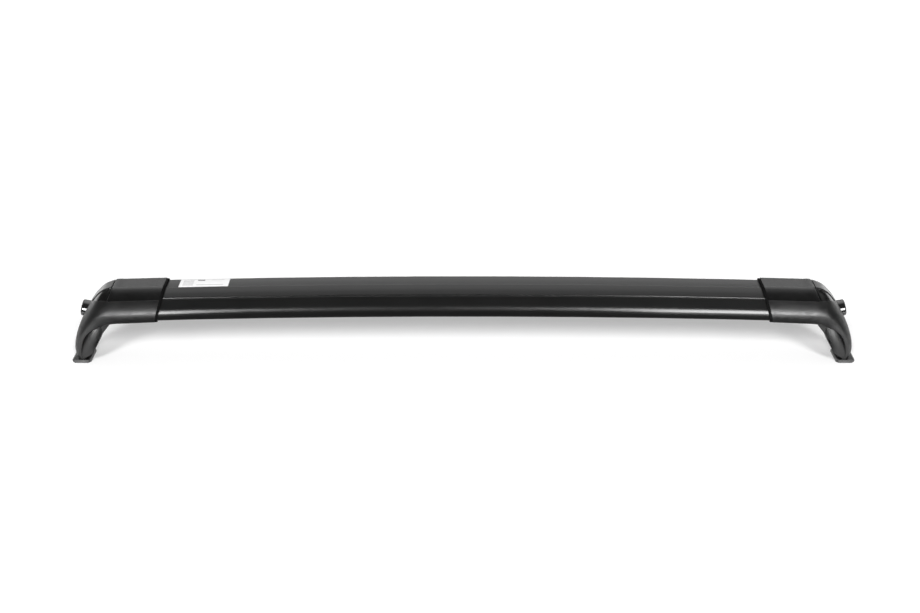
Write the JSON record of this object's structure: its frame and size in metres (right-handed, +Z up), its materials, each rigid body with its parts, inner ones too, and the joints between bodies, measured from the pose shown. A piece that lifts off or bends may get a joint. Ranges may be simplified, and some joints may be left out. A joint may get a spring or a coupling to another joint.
{
  "type": "roof rack crossbar",
  "caption": "Bowed black aero crossbar for a car roof, held at each end in a curved moulded leg with a lockable access cap and a clamping foot plate.",
  "frame": {"origin": "on the floor under the middle of the bar, level with the undersides of the foot plates", "axes": "+X along the bar, Y across it in the way of travel with the camera's side at -Y, +Z up"},
  "size_m": [1.2, 0.092, 0.1293],
  "materials": {
    "bar": "satin black anodised",
    "support": "fine satin grain",
    "cover": "semi-gloss black",
    "seal": "matt black",
    "lock_shell": "high gloss black",
    "lock_core": "plated",
    "plated_steel": "zinc plated",
    "bolt_steel": "black oxide",
    "foot": "dark grey coat"
  },
  "bodies": {
    "bar_assembly": {"crossbar": "bar", "left_support": "support", "left_top_cover": "cover", "left_mouth_seal": "seal", "left_lock_housing": "lock_shell", "left_bolt_washer": "plated_steel", "left_nut_plate": "plated_steel", "left_bar_screws": "bolt_steel", "right_support": "support", "right_top_cover": "cover", "right_mouth_seal": "seal", "right_lock_housing": "lock_shell", "right_bolt_washer": "plated_steel", "right_nut_plate": "plated_steel", "right_bar_screws": "bolt_steel"},
    "left_cap": {"left_shoulder_cap": "cover"},
    "left_lock": {"left_lock_core": "lock_core", "left_lock_arm": "plated_steel"},
    "left_bolt": {"left_clamp_bolt": "bolt_steel"},
    "left_foot": {"left_foot_plate": "foot", "left_nut_block": "foot"},
    "right_cap": {"right_shoulder_cap": "cover"},
    "right_lock": {"right_lock_core": "lock_core", "right_lock_arm": "plated_steel"},
    "right_bolt": {"right_clamp_bolt": "bolt_steel"},
    "right_foot": {"right_foot_plate": "foot", "right_nut_block": "foot"}
  },
  "joints": [
    {"name": "left_cap_lift", "type": "slide", "parent": "bar_assembly", "child": "left_cap", "axis": [0.2079, 0, 0.9781], "range_m": [0, 0.06]},
    {"name": "left_lock_turn", "type": "hinge", "parent": "bar_assembly", "child": "left_lock", "pos_m": [-0.58, 0, 0.0845], "axis": [0.9781, 0, -0.2079], "range_deg": [0, 90]},
    {"name": "left_bolt_turn", "type": "hinge", "parent": "bar_assembly", "child": "left_bolt", "pos_m": [-0.582, 0, 0.0045], "axis": [0.3338, 0, 0.9426], "range_deg": [0, 1728]},
    {"name": "left_foot_slide", "type": "slide", "parent": "bar_assembly", "child": "left_foot", "axis": [-0.3338, 0, -0.9426], "range_m": [0, 0.006]},
    {"name": "right_cap_lift", "type": "slide", "parent": "bar_assembly", "child": "right_cap", "axis": [-0.2079, 0, 0.9781], "range_m": [0, 0.06]},
    {"name": "right_lock_turn", "type": "hinge", "parent": "bar_assembly", "child": "right_lock", "pos_m": [0.58, 0, 0.0845], "axis": [0.9781, 0, 0.2079], "range_deg": [0, 90]},
    {"name": "right_bolt_turn", "type": "hinge", "parent": "bar_assembly", "child": "right_bolt", "pos_m": [0.582, 0, 0.0045], "axis": [-0.3338, 0, 0.9426], "range_deg": [0, 1728]},
    {"name": "right_foot_slide", "type": "slide", "parent": "bar_assembly", "child": "right_foot", "axis": [0.3338, 0, -0.9426], "range_m": [0, 0.006]}
  ],
  "couplings": [
    {"joint": "left_foot_slide", "follows": "left_bolt_turn", "m_per_rad": 0.00019894},
    {"joint": "right_foot_slide", "follows": "right_bolt_turn", "m_per_rad": 0.00019894}
  ]
}
